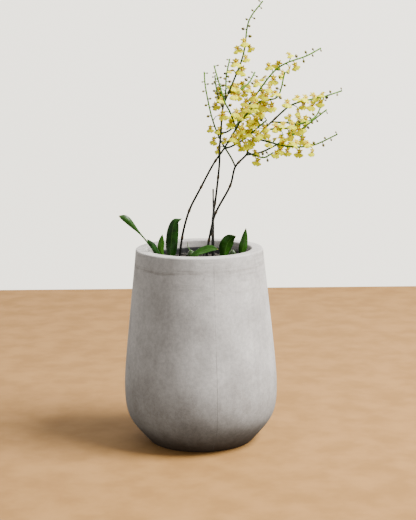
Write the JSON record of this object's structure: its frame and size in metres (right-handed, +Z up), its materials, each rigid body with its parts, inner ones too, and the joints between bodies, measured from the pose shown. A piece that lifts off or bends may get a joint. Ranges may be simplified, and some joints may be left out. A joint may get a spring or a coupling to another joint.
{
  "type": "planter",
  "caption": "Tall round tapered concrete planter with a thick flat rim, holding a lift-out grow pot with a yellow-flowered spray orchid on arching stems.",
  "frame": {"origin": "centre of the planter's flat underside, on the planter's axis", "axes": "+Z up along the planter's axis, +X to the side that the flower stems lean to, +Y to the back"},
  "size_m": [0.6205, 0.434, 1.2312],
  "materials": {
    "concrete": "matte",
    "pot_plastic": "satin",
    "plug_rubber": "matte",
    "bark_mix": "matte",
    "stake_plastic": "satin",
    "plant_stem": "satin",
    "plant_leaf": "gloss",
    "plant_bulb": "satin",
    "flower_petal": "satin"
  },
  "bodies": {
    "planter": {"drip_saucer": "pot_plastic", "planter_shell": "concrete", "riser_ring": "pot_plastic"},
    "lift_out_pot": {"flower_branch_left_inner": "flower_petal", "flower_branch_left_lower": "flower_petal", "flower_branch_left_outer": "flower_petal", "flower_branch_left_tip": "flower_petal", "flower_branch_middle_back": "flower_petal", "flower_branch_middle_left": "flower_petal", "flower_branch_middle_lower": "flower_petal", "flower_branch_middle_right": "flower_petal", "flower_branch_middle_tip": "flower_petal", "flower_branch_right_front": "flower_petal", "flower_branch_right_long": "flower_petal", "flower_branch_right_middle": "flower_petal", "flower_branch_right_outer": "flower_petal", "flower_branch_right_small": "flower_petal", "flower_branch_right_tip": "flower_petal", "flower_branch_right_upright": "flower_petal", "grow_pot": "pot_plastic", "leaf_broad_right": "plant_leaf", "leaf_curled": "plant_leaf", "leaf_inner_left": "plant_leaf", "leaf_long_left": "plant_leaf", "leaf_low_front": "plant_leaf", "leaf_narrow_left": "plant_leaf", "leaf_small_right": "plant_leaf", "leaf_tall_centre": "plant_leaf", "potting_mix": "bark_mix", "pseudobulb_centre": "plant_bulb", "pseudobulb_front": "plant_bulb", "pseudobulb_left": "plant_bulb", "pseudobulb_right": "plant_bulb", "stem_left": "plant_stem", "stem_middle": "plant_stem", "stem_right": "plant_stem"},
    "stake": {"support_stake": "stake_plastic"},
    "plug_1": {"drain_plug_1": "plug_rubber"},
    "plug_2": {"drain_plug_2": "plug_rubber"},
    "plug_3": {"drain_plug_3": "plug_rubber"}
  },
  "joints": [
    {"name": "grow_pot_lift", "type": "slide", "parent": "planter", "child": "lift_out_pot", "axis": [0, 0, 1], "range_m": [0, 0.3]},
    {"name": "stake_pull", "type": "slide", "parent": "lift_out_pot", "child": "stake", "axis": [0, 0, 1], "range_m": [0, 0.15]},
    {"name": "plug_1_pull", "type": "slide", "parent": "planter", "child": "plug_1", "axis": [0, 0, 1], "range_m": [0, 0.03]},
    {"name": "plug_2_pull", "type": "slide", "parent": "planter", "child": "plug_2", "axis": [0, 0, 1], "range_m": [0, 0.03]},
    {"name": "plug_3_pull", "type": "slide", "parent": "planter", "child": "plug_3", "axis": [0, 0, 1], "range_m": [0, 0.03]}
  ]
}
